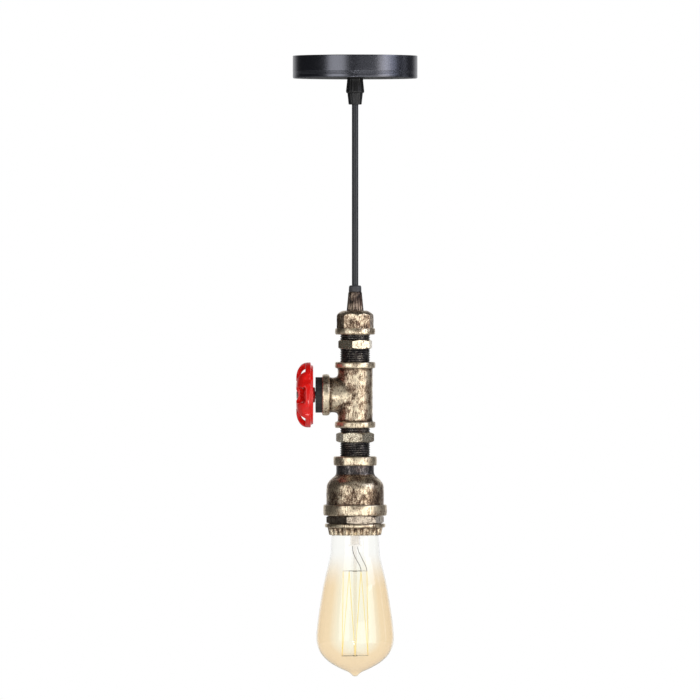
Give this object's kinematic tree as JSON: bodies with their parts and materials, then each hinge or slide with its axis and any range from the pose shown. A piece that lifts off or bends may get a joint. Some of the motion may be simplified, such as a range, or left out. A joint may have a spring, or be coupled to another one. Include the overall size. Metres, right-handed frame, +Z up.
{
  "type": "pipe pendant light",
  "caption": "Pendant light: round black ceiling canopy, cord, and a lamp of bronzed pipe fittings with a red handwheel switch on a tee and a pear-shaped screw-in bulb below.",
  "frame": {"origin": "middle of the ceiling bracket's two slots, on the bracket's top face, which is the ceiling plane", "axes": "+Z up to the ceiling, the lamp hangs along -Z, +X to the picture's right, the handwheel points to -X, and the picture looks along +Y"},
  "size_m": [0.1, 0.1, 0.4978],
  "materials": {
    "zinc_steel": "zinc-plated",
    "black_satin_steel": "satin black powder coat",
    "black_plastic": "moulded",
    "switch_bush_plastic": "matt moulded",
    "bronzed_plastic": "moulded, bronze tint",
    "cord_sheath": "smooth PVC",
    "live_insulation": "brown PVC",
    "neutral_insulation": "blue PVC",
    "earth_insulation": "green and yellow PVC",
    "antique_bronze_iron": "dark with brushed gold edges",
    "dark_bronze_iron": "dark with rubbed hexagon",
    "red_enamel": "gloss red enamel",
    "ivory_plastic": "moulded",
    "porcelain": "glazed",
    "brass": "stamped",
    "cap_brass": "rolled thread",
    "lamp_glass": "clear, faint amber",
    "black_glass": "vitreous insulator",
    "solder": "solder",
    "nickel_wire": "drawn wire",
    "filament_wire": "drawn filament"
  },
  "bodies": {
    "ceiling_mount": {"ceiling_bracket": "zinc_steel", "canopy_shell": "black_satin_steel", "canopy_screws": "zinc_steel", "grip_body": "black_plastic", "grip_locknut": "zinc_steel", "grip_collet": "black_plastic", "grip_nut": "black_plastic", "terminal_block": "ivory_plastic", "terminal_inserts": "brass", "terminal_screws": "zinc_steel", "canopy_live_core": "live_insulation", "canopy_neutral_core": "neutral_insulation", "canopy_earth_core": "earth_insulation", "bracket_earth_screw": "zinc_steel", "cord_spare_coil": "cord_sheath", "cord_lead_in": "cord_sheath"},
    "cord_link": {"cord_bend": "cord_sheath"},
    "cord_swing": {"cord_drop": "cord_sheath"},
    "lamp": {"cord_end": "cord_sheath", "lamp_grip_collet": "bronzed_plastic", "lamp_grip_cone": "bronzed_plastic", "lamp_grip_locknut": "zinc_steel", "lamp_earth_lug": "brass", "pipe_cap": "antique_bronze_iron", "upper_nipple": "dark_bronze_iron", "tee": "antique_bronze_iron", "lower_nipple": "dark_bronze_iron", "lamp_cup": "antique_bronze_iron", "hex_bush": "antique_bronze_iron", "toothed_ring": "antique_bronze_iron", "holder_skirt": "black_plastic", "holder_core": "porcelain", "screw_shell": "brass", "centre_contact": "brass", "holder_terminal_screws": "zinc_steel", "lamp_live_core": "live_insulation", "lamp_switched_core": "live_insulation", "lamp_neutral_core": "neutral_insulation", "lamp_earth_core": "earth_insulation", "switch_bush": "switch_bush_plastic", "switch_case": "black_plastic", "switch_nut": "zinc_steel", "switch_contacts": "brass"},
    "switch_wheel": {"switch_spindle": "zinc_steel", "switch_rotor": "ivory_plastic", "handwheel": "red_enamel", "wheel_washer": "zinc_steel", "wheel_screw": "zinc_steel"},
    "bulb": {"bulb_glass": "lamp_glass", "bulb_screw_cap": "cap_brass", "bulb_insulator": "black_glass", "bulb_contact": "solder", "bulb_stem": "lamp_glass", "bulb_lead_wires": "nickel_wire", "filament_supports": "nickel_wire", "filament": "filament_wire"}
  },
  "joints": [
    {"name": "swing_side", "type": "hinge", "parent": "ceiling_mount", "child": "cord_link", "pos_m": [0, 0, -0.0379], "axis": [0, 1, 0], "range_deg": [-25, 25]},
    {"name": "swing_front", "type": "hinge", "parent": "cord_link", "child": "cord_swing", "pos_m": [0, 0, -0.0479], "axis": [1, 0, 0], "range_deg": [-25, 25]},
    {"name": "drop_adjust", "type": "slide", "parent": "cord_swing", "child": "lamp", "axis": [0, 0, -1], "range_m": [0, 0.855], "deforming": ["cord_drop"]},
    {"name": "valve_turn", "type": "hinge", "parent": "lamp", "child": "switch_wheel", "pos_m": [-0.04, 0, -0.2719], "axis": [-1, 0, 0], "continuous": true},
    {"name": "bulb_out", "type": "slide", "parent": "lamp", "child": "bulb", "axis": [0, 0, -1], "range_m": [0, 0.04]}
  ]
}
